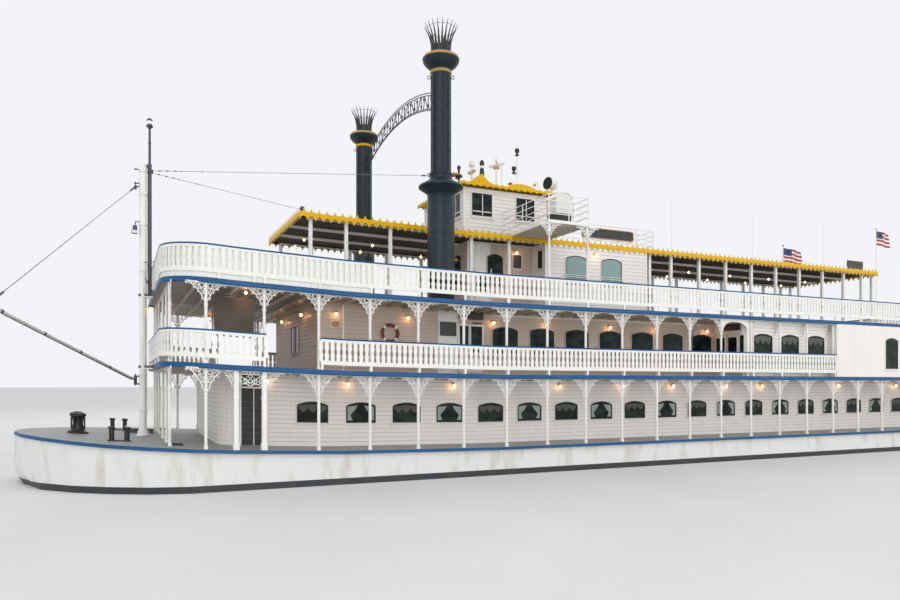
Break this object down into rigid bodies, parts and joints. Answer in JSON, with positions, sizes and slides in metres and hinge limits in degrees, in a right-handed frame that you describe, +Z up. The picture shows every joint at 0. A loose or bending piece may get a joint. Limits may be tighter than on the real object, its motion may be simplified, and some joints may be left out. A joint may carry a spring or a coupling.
{
  "type": "sternwheel paddle boat, 1:2 scale model",
  "caption": "Three-deck sternwheel passenger boat with galleries, canopy, pilothouse, twin chimneys joined by an arch, bow boom and a turning paddlewheel, as a 1:2 scale model.",
  "frame": {"origin": "on the flat bottom of the hull, on the centreline, amidships", "axes": "+X aft along the hull, -Y to port, +Z up"},
  "size_m": [28.925, 7.7785, 9.655],
  "materials": {
    "white_paint": "warm white gloss paint",
    "blue_trim": "blue gloss paint on the deck edges",
    "yellow_trim": "yellow gloss paint",
    "deck_paint": "matt grey deck paint",
    "hull_paint": "white topsides over a dark bottom",
    "chimney_paint": "dark blue-grey paint",
    "black_iron": "black paint",
    "wheel_paint": "red paint",
    "steel": "grey paint",
    "wire": "galvanised wire rope"
  },
  "bodies": {
    "boat": {"bow_mast": "white_paint", "bridge_wing_port": "white_paint", "bridge_wing_starboard": "white_paint", "canopy": "yellow_trim", "canopy_posts_port": "white_paint", "canopy_posts_starboard": "white_paint", "chimney_arch": "chimney_paint", "chimney_port": "chimney_paint", "chimney_starboard": "chimney_paint", "crown_port": "black_iron", "crown_starboard": "black_iron", "engine_block": "steel", "hull": "hull_paint", "main_arcade_front": "white_paint", "main_arcade_port": "white_paint", "main_arcade_starboard": "white_paint", "main_deck": "deck_paint", "main_wall_aft": "white_paint", "main_wall_front": "white_paint", "main_wall_port": "white_paint", "main_wall_starboard": "white_paint", "mast_stay_port": "wire", "mast_stay_starboard": "wire", "pilothouse_roof": "yellow_trim", "pilothouse_walls": "white_paint", "roof_board": "black_iron", "second_arcade_front": "white_paint", "second_arcade_port": "white_paint", "second_arcade_starboard": "white_paint", "second_deck": "blue_trim", "second_rail_front": "white_paint", "second_rail_port": "white_paint", "second_rail_starboard": "white_paint", "second_wall_aft": "white_paint", "second_wall_front": "white_paint", "second_wall_port": "white_paint", "second_wall_starboard": "white_paint", "texas_wall_aft": "white_paint", "texas_wall_front": "white_paint", "texas_wall_port": "white_paint", "texas_wall_starboard": "white_paint", "third_deck": "blue_trim", "third_rail_aft": "white_paint", "third_rail_front": "white_paint", "third_rail_port": "white_paint", "third_rail_starboard": "white_paint", "wheel_beam_port": "white_paint", "wheel_beam_starboard": "white_paint"},
    "wheel": {"paddle_wheel": "wheel_paint", "wheel_shaft": "steel"},
    "boom": {"boom": "steel", "boom_lift": "wire"},
    "rudder_port": {"rudder_port": "steel"},
    "rudder_starboard": {"rudder_starboard": "steel"},
    "gallery_door_inner_port": {"gallery_door_inner_port": "white_paint"},
    "gallery_door_inner_starboard": {"gallery_door_inner_starboard": "white_paint"},
    "gallery_door_outer_port": {"gallery_door_outer_port": "white_paint"},
    "gallery_door_outer_starboard": {"gallery_door_outer_starboard": "white_paint"},
    "texas_door_port": {"texas_door_port": "white_paint"},
    "texas_door_starboard": {"texas_door_starboard": "white_paint"}
  },
  "joints": [
    {"name": "wheel_turn", "type": "hinge", "parent": "boat", "child": "wheel", "pos_m": [14.8, 0, 2.25], "axis": [0, 1, 0], "continuous": true},
    {"name": "boom_slew", "type": "hinge", "parent": "boat", "child": "boom", "pos_m": [-10.31, 0, 2.59], "axis": [0, 0, 1], "range_deg": [-155, 15]},
    {"name": "rudder_port_turn", "type": "hinge", "parent": "boat", "child": "rudder_port", "pos_m": [12, -1.5, 0.6], "axis": [0, 0, 1], "range_deg": [-35, 35]},
    {"name": "rudder_starboard_turn", "type": "hinge", "parent": "boat", "child": "rudder_starboard", "pos_m": [12, 1.5, 0.6], "axis": [0, 0, 1], "range_deg": [-35, 35]},
    {"name": "gallery_door_inner_port_swing", "type": "hinge", "parent": "boat", "child": "gallery_door_inner_port", "pos_m": [2.61, -2.018, 2.69], "axis": [0, 0, -1], "range_deg": [0, 90]},
    {"name": "gallery_door_inner_starboard_swing", "type": "hinge", "parent": "boat", "child": "gallery_door_inner_starboard", "pos_m": [2.61, 2.018, 2.69], "axis": [0, 0, 1], "range_deg": [0, 90]},
    {"name": "gallery_door_outer_port_swing", "type": "hinge", "parent": "boat", "child": "gallery_door_outer_port", "pos_m": [2.61, -2.732, 2.69], "axis": [0, 0, 1], "range_deg": [0, 90]},
    {"name": "gallery_door_outer_starboard_swing", "type": "hinge", "parent": "boat", "child": "gallery_door_outer_starboard", "pos_m": [2.61, 2.732, 2.69], "axis": [0, 0, -1], "range_deg": [0, 90]},
    {"name": "texas_door_port_swing", "type": "hinge", "parent": "boat", "child": "texas_door_port", "pos_m": [-3.447, -0.94, 4.08], "axis": [0, 0, -1], "range_deg": [0, 90]},
    {"name": "texas_door_starboard_swing", "type": "hinge", "parent": "boat", "child": "texas_door_starboard", "pos_m": [-3.447, 0.94, 4.08], "axis": [0, 0, 1], "range_deg": [0, 90]}
  ],
  "couplings": [
    {"joint": "rudder_starboard_turn", "follows": "rudder_port_turn", "ratio": 1}
  ]
}
